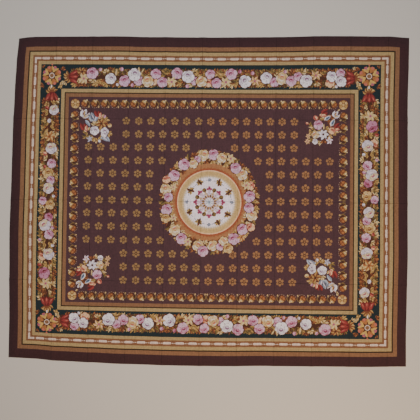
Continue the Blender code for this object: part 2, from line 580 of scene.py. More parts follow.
def repeat_tree(wool):
    """Points in, copies of the motif out, each scaled and turned by what its point says."""
    tree = bpy.data.node_groups.new("woven repeat", "GeometryNodeTree")
    for name, kind in (("Places", "Geometry"), ("Motif", "Object"), ("Motif Size", "Float")):
        tree.interface.new_socket(name, in_out="INPUT", socket_type="NodeSocket" + kind)
    tree.interface.new_socket("Cloth", in_out="OUTPUT", socket_type="NodeSocketGeometry")
    given = node(tree, "NodeGroupInput")
    motif = node(tree, "GeometryNodeObjectInfo", Object=given.outputs["Motif"])
    turn = node(tree, "GeometryNodeInputNamedAttribute", {"data_type": "FLOAT_VECTOR"}, Name="turn")
    stretch = node(tree, "GeometryNodeInputNamedAttribute", {"data_type": "FLOAT_VECTOR"}, Name="stretch")
    scale = node(tree, "ShaderNodeVectorMath", {"operation": "SCALE"}, stretch.outputs["Attribute"],
                 Scale=given.outputs["Motif Size"])
    turned = node(tree, "FunctionNodeEulerToRotation", Euler=turn.outputs["Attribute"])
    copies = node(tree, "GeometryNodeInstanceOnPoints", Points=given.outputs["Places"],
                  Instance=motif.outputs["Geometry"], Rotation=turned.outputs["Rotation"],
                  Scale=scale.outputs["Vector"])
    real = node(tree, "GeometryNodeRealizeInstances", Geometry=copies.outputs["Instances"])
    dyed = node(tree, "GeometryNodeSetMaterial", Geometry=real.outputs["Geometry"], Material=wool)
    node(tree, "NodeGroupOutput", Cloth=dyed.outputs["Geometry"])
    return tree


def drawing_mesh(name, motif):
    """A motif as a mesh: one face for each outline, its wool kept as a number on the face."""
    points, faces, wools = [], [], []
    for wool, outline in motif:
        faces.append(range(len(points), len(points) + len(outline)))
        points.extend((x, y, 0.0) for x, y in outline)
        wools.append(WOOL_NUMBER[wool])
    mesh = bpy.data.meshes.new(name)
    mesh.from_pydata(points, [], [list(face) for face in faces])
    mesh.attributes.new("wool", "INT", "FACE").data.foreach_set("value", wools)
    return mesh


def shown(name, data):
    """An object for this mesh, light or camera, linked into the scene."""
    made = bpy.data.objects.new(name, data)
    bpy.context.scene.collection.objects.link(made)
    return made


def input_id(tree, name):
    """A modifier knows an input of its tree by this identifier, not by its name."""
    return next(item.identifier for item in tree.interface.items_tree
                if item.item_type == "SOCKET" and item.in_out == "INPUT" and item.name == name)


def repeated(name, motif, places, size=1.0):
    """Copy a motif to its places (x, y, degrees, flip) with the node tree and read the outlines back."""
    pattern = shown(name + " motif", drawing_mesh(name + " motif", motif))
    points = bpy.data.meshes.new(name)
    points.from_pydata([(x, y, 0.0) for x, y, _, _ in places], [], [])
    turns = points.attributes.new("turn", "FLOAT_VECTOR", "POINT")
    turns.data.foreach_set("vector", [c for place in places for c in (0.0, 0.0, math.radians(place[2]))])
    stretch = points.attributes.new("stretch", "FLOAT_VECTOR", "POINT")
    stretch.data.foreach_set("vector", [c for place in places for c in (1.0, place[3], 1.0)])
    holder = shown(name, points)
    modifier = holder.modifiers.new("repeat", "NODES")
    modifier.node_group = REPEAT
    modifier[input_id(REPEAT, "Motif")] = pattern
    modifier[input_id(REPEAT, "Motif Size")] = size
    evaluated = holder.evaluated_get(bpy.context.evaluated_depsgraph_get())
    mesh = bpy.data.meshes.new_from_object(evaluated)
    wool_of = mesh.attributes["wool"].data
    outlines = []
    for face in mesh.polygons:
        corners = [mesh.vertices[k].co for k in face.vertices]
        outlines.append((WOOL_NAMES[wool_of[face.index].value], [(c.x, c.y) for c in corners]))
    bpy.data.objects.remove(holder)
    bpy.data.objects.remove(pattern)
    bpy.data.meshes.remove(mesh)
    print(name + ":", len(places), "places,", len(outlines), "outlines")
    return outlines


woven_wool = bpy.data.materials.new("woven wool")
REPEAT = repeat_tree(woven_wool)

# %% [markdown]
# ## The drawing: bands first
# The cartoon is painted from the back to the front. The first outline is the whole cloth in the
# colour of its outer band, and each later one covers part of it. Band edges get a point at the foot,
# shoulder and crest of every fold, so that they can bend over it later.

# %% Bands
FOLD_STEPS = (-0.045, -0.018, 0.0, 0.018, 0.045)
CORNER_CLEARANCE = 0.01
LONGEST_STEP = 0.11


def stations(half_size, folds):
    """Places along one direction: both ends, five for each fold, and the gaps filled evenly."""
    inside = half_size - CORNER_CLEARANCE
    places = [-half_size, half_size]
    places += [crest + step for crest, _ in folds for step in FOLD_STEPS if abs(crest + step) < inside]
    places.sort()
    lines = [places[0]]
    for place in places[1:]:
        start, gap = lines[-1], place - lines[-1]
        parts = max(1, math.ceil(gap / LONGEST_STEP))
        lines.extend(start + gap * k / parts for k in range(1, parts + 1))
    return lines


def band_outline(half_x, half_y):
    """A rectangle that runs counterclockwise through the stations of all four sides."""
    xs = stations(half_x, FOLDS_ALONG_Y)
    ys = stations(half_y, FOLDS_ALONG_X)
    outline = [(x, -half_y) for x in xs[:-1]] + [(half_x, y) for y in ys[:-1]]
    return outline + [(x, half_y) for x in xs[:0:-1]] + [(-half_x, y) for y in ys[:0:-1]]


drawing = []
for (yarn, _, _), (band_x, band_y) in zip(BANDS, EDGES):
    drawing.append((yarn, band_outline(band_x, band_y)))
drawing.append(("plum", band_outline(FIELD_X, FIELD_Y)))
print(len(BANDS), "bands round the field")


# %% The pearl line
REEL_PITCH = 0.118
REEL_MARGIN = 0.045
PEARL_WIDTH = 0.019
PEARL_CORNER = 0.050


def along_sides(half_x, half_y, pitch, margin):
    """Evenly spaced places (x, y, degrees) on all four sides, counterclockwise from the bottom."""
    places = []
    for turn in (0, 90, 180, 270):
        run, off = (half_x, half_y) if turn in (0, 180) else (half_y, half_x)
        count = round(2 * (run - margin) / pitch)
        for k in range(count):
            along = (2 * (k + 0.5) / count - 1) * (run - margin)
            c, s = math.cos(math.radians(turn)), math.sin(math.radians(turn))
            places.append((along * c + off * s, along * s - off * c, turn))
    return places


pearl_x, pearl_y = middle_of_band(PEARL_BAND)
sides = along_sides(pearl_x, pearl_y, REEL_PITCH, REEL_MARGIN)
reel_places = [(x, y, turn, 1.0) for x, y, turn in sides]
for side_x in (-1, 1):
    for side_y in (-1, 1):
        x, y, reach, half = side_x * pearl_x, side_y * pearl_y, PEARL_CORNER, PEARL_WIDTH / 2
        corner = [(x + side_x * half, y + side_y * half), (x - side_x * reach, y + side_y * half),
                  (x - side_x * reach, y - side_y * half), (x - side_x * half, y - side_y * half),
                  (x - side_x * half, y - side_y * reach), (x + side_x * half, y - side_y * reach)]
        drawing.append(("pearl", corner))
drawing += repeated("pearl line", reel_with_beads(), reel_places)

# %% [markdown]
# ## The field
# Little five- and six-petalled flowers stand in columns and rows on plum. They leave room for the
# medallion and for the four bouquets. They are a shade more golden on the left half and more coppery
# on the right half, where the weaver went on with another dye lot.

# %% Field flowers
COLUMN_PITCH = 0.111
ROW_PITCH = 0.1242
FLOWER_SIZE = 0.037
MIDDLE_COLUMN, MIDDLE_ROW = 11, 6
LATTICE_MIDDLE = (0.008, 0.004)
# columns that hold a flower, rows from the top
ROW_COLUMNS = (
    ((4, 18),), ((4, 18),), ((1, 9), (13, 18)), ((1, 7), (15, 21)),
    ((1, 6), (16, 21)), ((1, 6), (16, 21)), ((1, 6), (16, 21)), ((1, 6), (16, 21)), ((1, 6), (16, 21)),
    ((1, 7), (15, 21)), ((4, 9), (13, 21)), ((4, 18),), ((4, 18),),
)
# the columns and rows are not quite straight: millimetres to the right, millimetres down
COLUMN_DRIFT = (-14, -11, -5, 1, 7, 8, 9, 10, 8, 9, 10, 10, 13, 8, 8, 5, 2, 4, 4, 3, 1)
ROW_DRIFT = (14, 12, 9, 7, 5, 4, 3, 0, 0, 0, 0, 0, 0)
ROW_SLIDE = (6, 6, 4, 3, 2, 1, 0, -2, -4, -4, -3, -2, -2)
flower_places = {}
for row, runs in enumerate(ROW_COLUMNS):
    for first, last in runs:
        for column in range(first, last + 1):
            drift = (COLUMN_DRIFT[column - 1] + ROW_SLIDE[row]) / 1000
            x = (column - MIDDLE_COLUMN) * COLUMN_PITCH + LATTICE_MIDDLE[0] + drift
            y = (MIDDLE_ROW - row) * ROW_PITCH + LATTICE_MIDDLE[1] - ROW_DRIFT[row] / 1000
            kind = (6 if (row + column) % 2 else 5, "left" if column < MIDDLE_COLUMN else "right")
            flower_places.setdefault(kind, []).append((x, y, 0.0, 1.0))
for (petals, half), places in sorted(flower_places.items()):
    flower = field_flower(petals, "sprig gold" if half == "left" else "sprig copper", "umber")
    drawing += repeated(f"field flower {petals} {half}", flower, places, FLOWER_SIZE)

# %% [markdown]
# ## The inner border
# Acorn heads run from the middle of each side out to a round flower in each corner. The heads of one
# half of a side face those of the other half, and on the short sides they lie a quarter turn round.

# %% Acorn heads and corner flowers
HEAD_SIZE = 0.040
BORDER_X, BORDER_Y = 1.243, 0.890
LONG_SIDE_HEADS = 13
SHORT_SIDE_HEADS = 8
CORNER_FLOWER_SIZE = 0.043
CORNER_FLOWER_LIFT = 0.002
CORNER_LEAF_SIZE = 0.028
CORNER_LEAF_INSET = 0.034

head_places = []
for k in range(LONG_SIDE_HEADS):
    x = BORDER_X - (k + 1) * BORDER_X / (LONG_SIDE_HEADS + 0.5)
    head_places += [(-x, BORDER_Y, 0, 1.0), (x, BORDER_Y, 180, -1.0)]
    head_places += [(-x, -BORDER_Y, 0, -1.0), (x, -BORDER_Y, 180, 1.0)]
for k in range(SHORT_SIDE_HEADS):
    y = BORDER_Y - (k + 1) * BORDER_Y / (SHORT_SIDE_HEADS + 0.5)
    head_places += [(-BORDER_X, y, -90, -1.0), (BORDER_X, y, -90, 1.0)]
    head_places += [(-BORDER_X, -y, 90, 1.0), (BORDER_X, -y, 90, -1.0)]
drawing += repeated("acorn head", acorn_head(), head_places, HEAD_SIZE)


def border_corner_flower():
    """A round flower of six petals, lit along its lower rim."""
    motif = [("rust", disc(1.06, 14)), ("primrose", crescent(1.0, 0.34, -2.5, -0.6, 5))]
    for k in range(6):
        angle = math.pi / 2 + TURN * k / 6
        motif.append(("primrose" if k % 2 else "gold", petal(angle, 0.3, 0.94, 0.48)))
    motif.append(("umber", disc(0.36, 8)))
    motif.append(("primrose", disc(0.28, 6)))
    return motif


for side_x in (-1, 1):
    for side_y in (-1, 1):
        flower = placed(border_corner_flower(), size=CORNER_FLOWER_SIZE)
        if side_x > 0:
            flower = [(wool, [(-x, y) for x, y in outline]) for wool, outline in flower]
        drawing += placed(flower, side_x * BORDER_X, side_y * (BORDER_Y + CORNER_FLOWER_LIFT))
        x, y = side_x * (BORDER_X - CORNER_LEAF_INSET), side_y * (BORDER_Y - CORNER_LEAF_INSET)
        inwards = math.degrees(math.atan2(-side_y, -side_x))
        drawing += placed(leaf("cream", "gold", 1.0, 0.6), x, y, CORNER_LEAF_SIZE, inwards)
print("inner border:", len(head_places), "heads and 4 corner flowers")

# %% [markdown]
# ## The four bouquets
# Two bouquets are drawn: one with white roses and a great golden lily, one with a pink rose, blue
# petals and a torn white flower. Each is woven twice, once upright and once turned half round, in
# opposite corners, which is how a workshop saved drawing. Places are in centimetres from the middle
# of the bouquet.

# %% Iris and bouquet
def iris(pale, mid, dark, low):
    """An iris seen from the side: three upright petals, a lower fall and a dark throat."""
    return leaves((mid, dark, 0.9, 0.50, 0.1, -0.10, 0.30, 150),
                  (pale, mid, 1.7, 0.80, 0.2, 0.15, -0.85, 118),
                  (mid, pale, 1.6, 0.75, -0.2, 0.10, -0.75, 58),
                  (pale, mid, 1.3, 0.80, 0.0, 0.00, -0.25, 88),
                  (low, mid, 1.6, 0.62, -0.1, 0.00, -1.00, 52),
                  (dark, low, 1.2, 0.50, 0.1, 0.08, -0.50, 98))


def torn_tulip():
    """A closed red tulip with a peach petal curling out of it, pointing along +X."""
    return leaves(("red", "dark red", 1.75, 0.80, 0.1, -0.50, 0.10, 2),
                  ("red", "dark red", 1.35, 0.66, -0.1, -0.50, -0.10, -9),
                  ("peach", "coral", 1.1, 0.62, 0.2, -0.75, -0.22, -24),
                  ("peach", "coral", 0.7, 0.42, 0.2, -0.85, -0.02, 8),
                  ("cream", "gold", 0.7, 0.46, 0.2, -0.80, -0.40, -60))


# what, centimetres right, centimetres up, size in centimetres, degrees
WHITE_BOUQUET = (
    ("rust leaves", -7.0, 7.5, 4.4, 150), ("rust leaves", -5.0, 5.0, 4.0, 120),
    ("olive leaves", -8.4, -5.5, 4.4, 200), ("olive leaves", -9.0, -9.5, 3.8, 240),
    ("gold leaves", 12.0, -7.0, 4.0, -20), ("gold leaves", 9.0, 5.0, 4.6, 70),
    ("cream leaves", -0.5, 1.0, 4.6, 100), ("olive leaves", 4.0, -9.0, 4.6, -60),
    ("gold leaves", -1.0, -11.0, 4.6, -120), ("gold leaves", 4.0, -10.0, 3.8, -60),
    ("gold leaves", 3.6, -2.0, 4.2, -80), ("olive leaves", -4.6, -8.6, 4.2, -130),
    ("gold leaves", 3.4, 6.6, 4.0, 80), ("rust leaves", 8.0, 1.5, 4.4, 50),
    ("cream blade", -15.0, 16.0, 1.8, 135), ("pale iris", -10.8, 11.4, 4.5, -20),
    ("grey iris", -2.8, 8.2, 4.6, 20), ("closed tulip", 2.6, 10.2, 4.7, 122),
    ("sky petal", -7.7, 2.4, 3.9, -52), ("closed tulip", -10.5, -2.0, 5.0, 122),
    ("orange lily", 5.2, 2.4, 5.9, 10), ("pink bud", 7.4, 7.6, 2.2, 60), ("cream bud", 11.0, 0.4, 2.9, 5),
    ("grey petal", 8.8, -12.6, 3.4, -25), ("sky petal", 11.4, -12.0, 3.2, -60),
    ("sky petal", 7.0, -10.6, 3.0, 30), ("white rose", 8.4, -5.2, 3.9, 0),
    ("white rose", 7.8, -7.6, 3.0, 0), ("white rose", -1.1, -4.4, 4.2, 0),
    ("pale flower", -5.4, -12.0, 3.4, 20), ("white bud", 3.2, -12.4, 2.2, -75),
    ("cream bud", 0.8, -14.0, 1.6, -100),
)
PINK_BOUQUET = (
    ("rust leaves", 8.0, 8.5, 4.4, 40), ("rust leaves", 6.0, 2.0, 4.2, 20),
    ("olive leaves", -6.5, -1.5, 4.4, 190), ("gold leaves", -1.0, -3.0, 4.4, 200),
    ("gold leaves", 6.0, -8.5, 4.4, -40), ("cream leaves", -2.0, -12.5, 4.2, -110),
    ("rust leaves", 1.5, -11.6, 4.4, -80), ("olive leaves", -9.0, -10.0, 4.0, 220),
    ("gold leaves", -9.5, -4.5, 3.6, 170), ("rust leaves", 4.4, 5.6, 4.2, 60),
    ("gold leaves", 0.6, 6.6, 4.0, 100), ("rust leaves", -2.2, 8.0, 3.8, 110),
    ("gold leaves", 3.6, -1.2, 4.2, -20), ("olive leaves", -9.4, 2.6, 3.4, 175),
    ("gold leaves", 11.0, -5.0, 3.4, -30), ("coral bud", -12.2, 3.4, 2.0, 165),
    ("cream blade", -10.0, 0.2, 2.6, 170), ("closed tulip", 1.4, 12.6, 4.8, 38),
    ("closed tulip", 13.4, -0.6, 4.4, 52), ("pale iris", 12.6, 12.0, 3.5, -35),
    ("blue petal", 5.1, 8.6, 3.9, 35), ("blue petal", 9.8, 4.4, 4.1, 62),
    ("pink rose", -3.3, 2.3, 4.4, 0), ("coral bud", -4.6, 6.4, 3.6, 115),
    ("cream blade", 2.0, 0.6, 2.8, 88), ("peach rose", 9.3, -3.0, 3.2, 0),
    ("torn flower", 1.4, -6.3, 5.2, 0), ("cream rose", -6.0, -6.6, 3.6, 0),
    ("peach lily", -12.6, -8.0, 2.6, 0), ("peach lily", -13.2, -12.8, 2.8, 0),
    ("white rose", -6.2, -13.2, 2.5, 0), ("white flower", 7.0, -12.0, 3.7, 10),
)


# light wool, dark wool, length, width, bend, start
LONE_PETALS = {
    "sky petal": (("sky", "blue grey", 2.0, 0.8, 0.05, -1.0),),
    "grey petal": (("chalk", "blue grey", 2.0, 0.8, 0.05, -1.0),),
    "blue petal": (("copper", "rust", 2.3, 1.25, 0.0, -1.15), ("white", "sky", 1.9, 0.90, 0.0, -0.95),
                   ("blue", "slate", 1.3, 0.50, 0.0, -0.60)),
}
# light wool, dark wool, eye, petals
OPEN_FLOWERS = {
    "torn flower": ("white", "chalk", "umber", 7),
    "white flower": ("white", "pale pink", "primrose", 5),
    "pale flower": ("chalk", "blue grey", "lilac", 5),
}
# upright wool, middle wool, throat, lower fall
IRISES = {
    "pale iris": ("white", "chalk", "rust", "primrose"),
    "grey iris": ("sky", "blue grey", "slate", "chalk"),
}


def bouquet_piece(kind, seed):
    """One flower, petal or spray of a bouquet by its name in a table."""
    if kind in LONE_PETALS:
        return leaves(*((*petal_row, 0.0, 0.0) for petal_row in LONE_PETALS[kind]))
    if kind in OPEN_FLOWERS:
        *wools, petals = OPEN_FLOWERS[kind]
        return lily(wools, seed, petals)
    if kind in IRISES:
        return iris(*IRISES[kind])
    if kind == "closed tulip":
        return torn_tulip()
    return garland_piece(kind, seed)


def bouquet(table, seed):
    """A whole bouquet in metres, from a table in centimetres."""
    motif = []
    for number, (kind, right, up, size, turn) in enumerate(table):
        motif += placed(bouquet_piece(kind, seed + number), right / 100, up / 100, size / 100, turn)
    return motif


WHITE_SEED, PINK_SEED = 300, 340
white_bouquet = bouquet(WHITE_BOUQUET, WHITE_SEED)
pink_bouquet = bouquet(PINK_BOUQUET, PINK_SEED)
BOUQUET_PLACES = ((white_bouquet, -1.047, 0.684, 0), (white_bouquet, 1.049, -0.672, 180),
                  (pink_bouquet, 1.047, 0.684, 0), (pink_bouquet, -1.045, -0.672, 180))
for motif, x, y, turn in BOUQUET_PLACES:
    drawing += placed(motif, x, y, turn=turn)
print("bouquets of", len(white_bouquet), "and", len(pink_bouquet), "outlines")

# %% [markdown]
# ## The medallion
# A wreath of roses lies on a copper ring round an ivory disc. The step from the golden ring to the
# disc is woven as hatching: long teeth of one wool reach into the next one, which reads as a soft
# shade from a distance. A ring of leaf sprays and a star of palmettes fill the disc.

# %% Rings and disc
MEDALLION = (0.018, -0.010)


def hatched_ring(radius, tooth, teeth):
    """A circle with long teeth, for hatching one wool into the next."""
    return [polar(radius + (tooth if k % 2 else 0.0), TURN * k / (2 * teeth)) for k in range(2 * teeth)]


rings = [("umber", lobed(40, 0.458, 0.436, 0.0, 3)), ("copper", lobed(36, 0.372, 0.356, 0.0, 2)),
         ("russet", hatched_ring(0.314, 0.010, 60)), ("brick", disc(0.309, 72)), ("peach", disc(0.297, 72)),
         ("ring gold", disc(0.286, 72)), ("straw", hatched_ring(0.248, 0.010, 72)),
         ("pale straw", hatched_ring(0.239, 0.009, 72)), ("ivory", hatched_ring(0.230, 0.009, 72)),
         ("disc ivory", hatched_ring(0.219, 0.009, 72))]
drawing += placed(rings, *MEDALLION)
print(len(rings), "rings of wool under the wreath and the disc")

# %% Leaf sprays on the disc
SPRAY_ANGLES = (27, 64, 116, 148, 207, 243, 294, 327)
SPRAY_WOOLS = (("primrose", "olive"), ("rust", "umber"), ("gold", "moss"))
SPRAY_RING, SPRAY_SIZE, SPRAY_EYE, SPRAY_SEED = 0.203, 0.039, 0.011, 400
STEM_WIDTH, STEM_WAVE, STEM_STEP = 0.006, 0.006, 0.13
medallion = []
for number, angle in enumerate(SPRAY_ANGLES):
    a = math.radians(angle)
    path = [polar(SPRAY_RING + STEM_WAVE * math.cos(k), a + STEM_STEP * k) for k in (-2, -1, 0, 1, 2)]
    medallion += strip("blue grey", path, STEM_WIDTH)
    x, y = polar(SPRAY_RING, a)
    spray = leaf_spray(SPRAY_WOOLS, SPRAY_SEED + number, 6, 360, 0.62)
    medallion += placed(spray, x, y, SPRAY_SIZE, angle + 90)
    medallion += placed([("umber", disc(SPRAY_EYE, 6))], x, y)

BLUE_RING, BLUE_SIZE, BLUE_SEED = 0.207, 0.021, 420
BLUE_LEAF_RING, BLUE_LEAF_SIZE, BLUE_LEAF_STEP = 0.205, 0.013, 0.11
for angle in (0, 90, 180, 270):
    x, y = polar(BLUE_RING, math.radians(angle))
    medallion += placed(lily(("blue grey", "slate", "sky"), BLUE_SEED + angle, 6), x, y, BLUE_SIZE)
    for step in (-BLUE_LEAF_STEP, BLUE_LEAF_STEP):
        x, y = polar(BLUE_LEAF_RING, math.radians(angle) + step)
        medallion += placed(leaf("blue grey", "slate", 1.0, 0.5), x, y, BLUE_LEAF_SIZE, angle + 90)
print("sprays and blue flowers:", len(medallion), "outlines")

# %% The star in the middle
FLORETS, FLORET_RING, FLORET_SIZE, FLORET_SEED = 16, 0.082, 0.018, 440
HEART, HEART_LEAF, HEART_EYE = 0.040, 0.042, 0.010
RAY_SIZE = 0.034
medallion.append(("lilac", lobed(FLORETS, 0.100, 0.086, TURN / 32, 2)))
for k in range(FLORETS):
    x, y = polar(FLORET_RING, TURN * k / FLORETS)
    wools = ("cream", "primrose", "rust") if k % 2 else ("white", "lilac", "deep rose")
    medallion += placed(lily(wools, FLORET_SEED + k, 5), x, y, FLORET_SIZE, 360 * k / FLORETS)
for k in range(FLORETS):
    x, y = polar(HEART, TURN * (k + 0.5) / FLORETS)
    wools = ("gold", "umber") if k % 2 else ("primrose", "rust")
    medallion += placed(leaf(*wools, 1.0, 0.6), x, y, RAY_SIZE, 360 * (k + 0.5) / FLORETS)
medallion.append(("white", disc(HEART, 16)))
for k in range(8):
    medallion += placed(leaf("white", "sky", 1.0, 0.5), size=HEART_LEAF, turn=45 * k + 22.5)
medallion.append(("blue grey", disc(HEART_EYE, 8)))
drawing += placed(medallion, *MEDALLION)
print("with the star:", len(medallion), "outlines")

# %% Buds and palmettes round the star
TIPS = 8
BUD_RING, BUD_SIZE = 0.120, 0.0205
PALMETTE_RING, PALMETTE_SIZE = 0.118, 0.0275


def star_places(radius, offset):
    """Places on a ring round the middle of the medallion, each facing outwards."""
    places = []
    for k in range(TIPS):
        x, y = polar(radius, TURN * (k + offset) / TIPS)
        places.append((x + MEDALLION[0], y + MEDALLION[1], 360 / TIPS * (k + offset), 1.0))
    return places


drawing += repeated("round bud", round_bud(), star_places(BUD_RING, 0.5), BUD_SIZE)
drawing += repeated("palmette", palmette(), star_places(PALMETTE_RING, 0), PALMETTE_SIZE)

# %% Wreath
# what, degrees from the right, centimetres from the middle, size in centimetres
WREATH = (
    ("pink rose", 85, 42.5, 4.6), ("cream rose", 98, 42.3, 4.8), ("pink rose", 107, 39.8, 3.0),
    ("cream rose", 114, 37.3, 3.8), ("pink rose", 126, 41.3, 4.8), ("pink rose", 145, 40.8, 4.8),
    ("peach rose", 154, 45.2, 3.4), ("cream rose", 165, 42.5, 4.8), ("cream lily", 159, 36.5, 3.2),
    ("pink rose", 174, 38.7, 3.9), ("pink rose", 190, 40.7, 4.6), ("gold rose", 200, 43.4, 3.8),
    ("cream lily", 203, 36.5, 3.6), ("cream rose", 218, 40.8, 4.8), ("pink rose", 232, 41.7, 4.8),
    ("cream lily", 241, 40.5, 4.2), ("cream rose", 256, 40.3, 5.0), ("pink rose", 263, 44.2, 4.6),
    ("cream rose", 276, 38.8, 4.6), ("pink rose", 285, 40.9, 3.4), ("cream rose", 292, 37.3, 4.0),
    ("gold rose", 294, 44.8, 4.2), ("pink rose", 306, 40.3, 4.9), ("gold lily", 315, 43.5, 4.4),
    ("pink rose", 323, 39.5, 4.8), ("coral rose", 331, 45.0, 3.6), ("cream rose", 344, 41.6, 4.8),
    ("pink rose", 353, 37.6, 4.3), ("pink rose", 8, 38.3, 4.8), ("coral rose", 21, 41.5, 3.6),
    ("cream lily", 24, 38.0, 4.4), ("cream rose", 39, 39.5, 4.8), ("pink rose", 51, 39.3, 4.6),
    ("cream lily", 63, 43.8, 4.6), ("cream rose", 74, 41.2, 4.4),
)
# centimetres from the middle, how many, size in metres, which way they face, what
WREATH_LEAVES = (
    (43.6, 46, 0.046, 0, ("rust leaves", "gold leaves", "rust leaves", "olive leaves")),
    (41.5, 36, 0.052, 90, ("gold leaves", "cream leaves", "olive leaves", "gold leaves")),
    (37.6, 38, 0.044, 180, ("cream leaves", "gold leaves", "rust leaves", "gold leaves")),
)
LEAF_TURNS = (-38, 20, -14, 42)
WREATH_WIDTH, WREATH_HEIGHT = 0.98, 1.035
FLOWER_SWELL = 1.08
WREATH_LEAF_SEED, WREATH_SEED = 500, 600


def wreath_point(degrees, centimetres):
    """Place on the wreath, which is a little taller than wide."""
    x, y = polar(centimetres / 100, math.radians(degrees))
    return x * WREATH_WIDTH + MEDALLION[0], y * WREATH_HEIGHT + MEDALLION[1]


for radius, count, size, facing, kinds in WREATH_LEAVES:
    for k in range(count):
        angle = 360 * k / count
        x, y = wreath_point(angle, radius)
        turn = angle + facing + LEAF_TURNS[k % 4]
        drawing += placed(garland_piece(kinds[k % 4], WREATH_LEAF_SEED + k), x, y, size, turn)
for number, (kind, angle, radius, size) in enumerate(WREATH):
    x, y = wreath_point(angle, radius)
    drawing += placed(garland_piece(kind, WREATH_SEED + number), x, y, FLOWER_SWELL * size / 100)
print("wreath:", len(WREATH), "flowers over", sum(row[1] for row in WREATH_LEAVES), "leaf sprays")

# %% [markdown]
# ## The garlands
# Long and short garlands fill the green band between four round corner flowers. The top garland turned
# half round is the bottom one, and the left one turned half round is the right one. A dark ground with
# rows of leaves makes the ragged edge, and the flowers lie on it in the order of the table.

# %% Garland tables
# what, centimetres along, centimetres towards the outside, size in centimetres, degrees
LONG_GARLAND = (
    ("gold leaves", -133, 2, 4.6, 180), ("cream leaves", -135, -5, 3.2, 200),
    ("olive leaves", -124, 5, 3.6, 100), ("red tulip", -128.5, 0.5, 6.6, 0),
    ("orange lily", -119.5, 5.5, 4.8, 0), ("cream lily", -118, -1, 5.6, 0),
    ("pink rose", -110, 4, 5.4, 0), ("pink bud", -103.5, 6, 2.6, 60), ("gold leaves", -107, -5, 4.2, -80),
    ("gold leaves", -100.5, -4, 4.0, -100), ("cream leaves", -97, 5, 4.2, 100),
    ("rust leaves", -93, 7, 4.0, 70), ("white rose", -93, -1, 5.2, 0), ("cream blade", -87.5, 5, 3.6, 82),
    ("white bud", -87, -5, 2.2, -80), ("pink bud", -83, 6, 2.8, 80), ("pink rose", -80, -3, 5.2, 0),
    ("pink rose", -67, -2.5, 4.8, 0), ("pink bud", -72.5, -5, 2.6, -100), ("white rose", -71, 3, 5.9, 0),
    ("cream blade", -66.5, 8, 2.8, 100), ("cream blade", -63, 7, 2.8, 60),
    ("rust leaves", -60, 4, 4.2, 80), ("peach rose", -53.5, -3, 4.2, 0),
    ("cream rose", -58.5, -3, 5.6, 0), ("pink rose", -51, 4, 4.8, 0), ("pink rose", -45, -4, 4.9, 0),
    ("olive leaves", -43, 6, 4.2, 80), ("pink rose", -31.5, 4.5, 5.2, 0),
    ("cream lily", -36.5, -3.5, 5.7, 0), ("gold leaves", -30, -5, 3.8, -70),
    ("pink rose", -15.5, -2.5, 3.9, 0), ("pink bud", -22, -5.5, 2.8, -90),
    ("white rose", -21.5, 1.5, 5.8, 0), ("cream leaves", -15.5, 6.5, 3.4, 90),
    ("rust leaves", -9, 4, 4.2, 100), ("peach rose", -3, -4, 4.2, 0), ("cream rose", -9, -3, 5.3, 0),
    ("pink rose", -1, 4, 4.4, 0), ("pink rose", 5, -4.5, 4.8, 0), ("olive leaves", 8, 5, 4.8, 80),
    ("pink rose", 18.5, 4, 5.2, 0), ("cream lily", 13.5, -3.5, 5.7, 0), ("rose bud", 25.5, 4.5, 2.9, 70),
    ("gold leaves", 22, -5, 4.0, -90), ("rust leaves", 32.5, 5, 4.0, 100), ("white rose", 31, -3, 5.8, 0),
    ("pink bud", 37.5, 3, 2.8, 80), ("peach lily", 40, -2.5, 5.4, 0), ("olive leaves", 56, 5, 4.4, 80),
    ("white rose", 50.5, 0.5, 5.5, 0), ("pink rose", 58, -3.5, 4.3, 0), ("cream rose", 65, 0, 5.7, 0),
    ("pink bud", 67, 4.5, 2.6, 70), ("rust leaves", 73.5, 5, 4.2, 90), ("olive leaves", 82, 5.5, 4.0, 80),
    ("gold leaves", 80, -6, 4.0, -90), ("pink rose", 73, -2.5, 4.8, 0), ("pink rose", 79.5, 1.5, 4.0, 0),
    ("cream leaves", 96.5, -4.5, 4.0, -80), ("white rose", 86.5, -2.5, 5.8, 0),
    ("peach lily", 95.5, 2.5, 5.4, 0), ("olive leaves", 103, 3.5, 4.4, 90),
    ("peach rose", 108.5, -4.5, 4.3, 0), ("white rose", 110, 1.5, 4.8, 0),
    ("white bud", 113.5, -6.5, 2.2, -60), ("pink rose", 118, 4.5, 4.1, 0),
    ("gold leaves", 132, 1, 4.8, 0), ("cream leaves", 131, 7.5, 3.4, 60),
    ("cream leaves", 134, -5.5, 3.4, -50), ("white rose", 118.5, -3, 4.9, 0),
    ("red tulip", 128, 0, 6.6, 180),
)
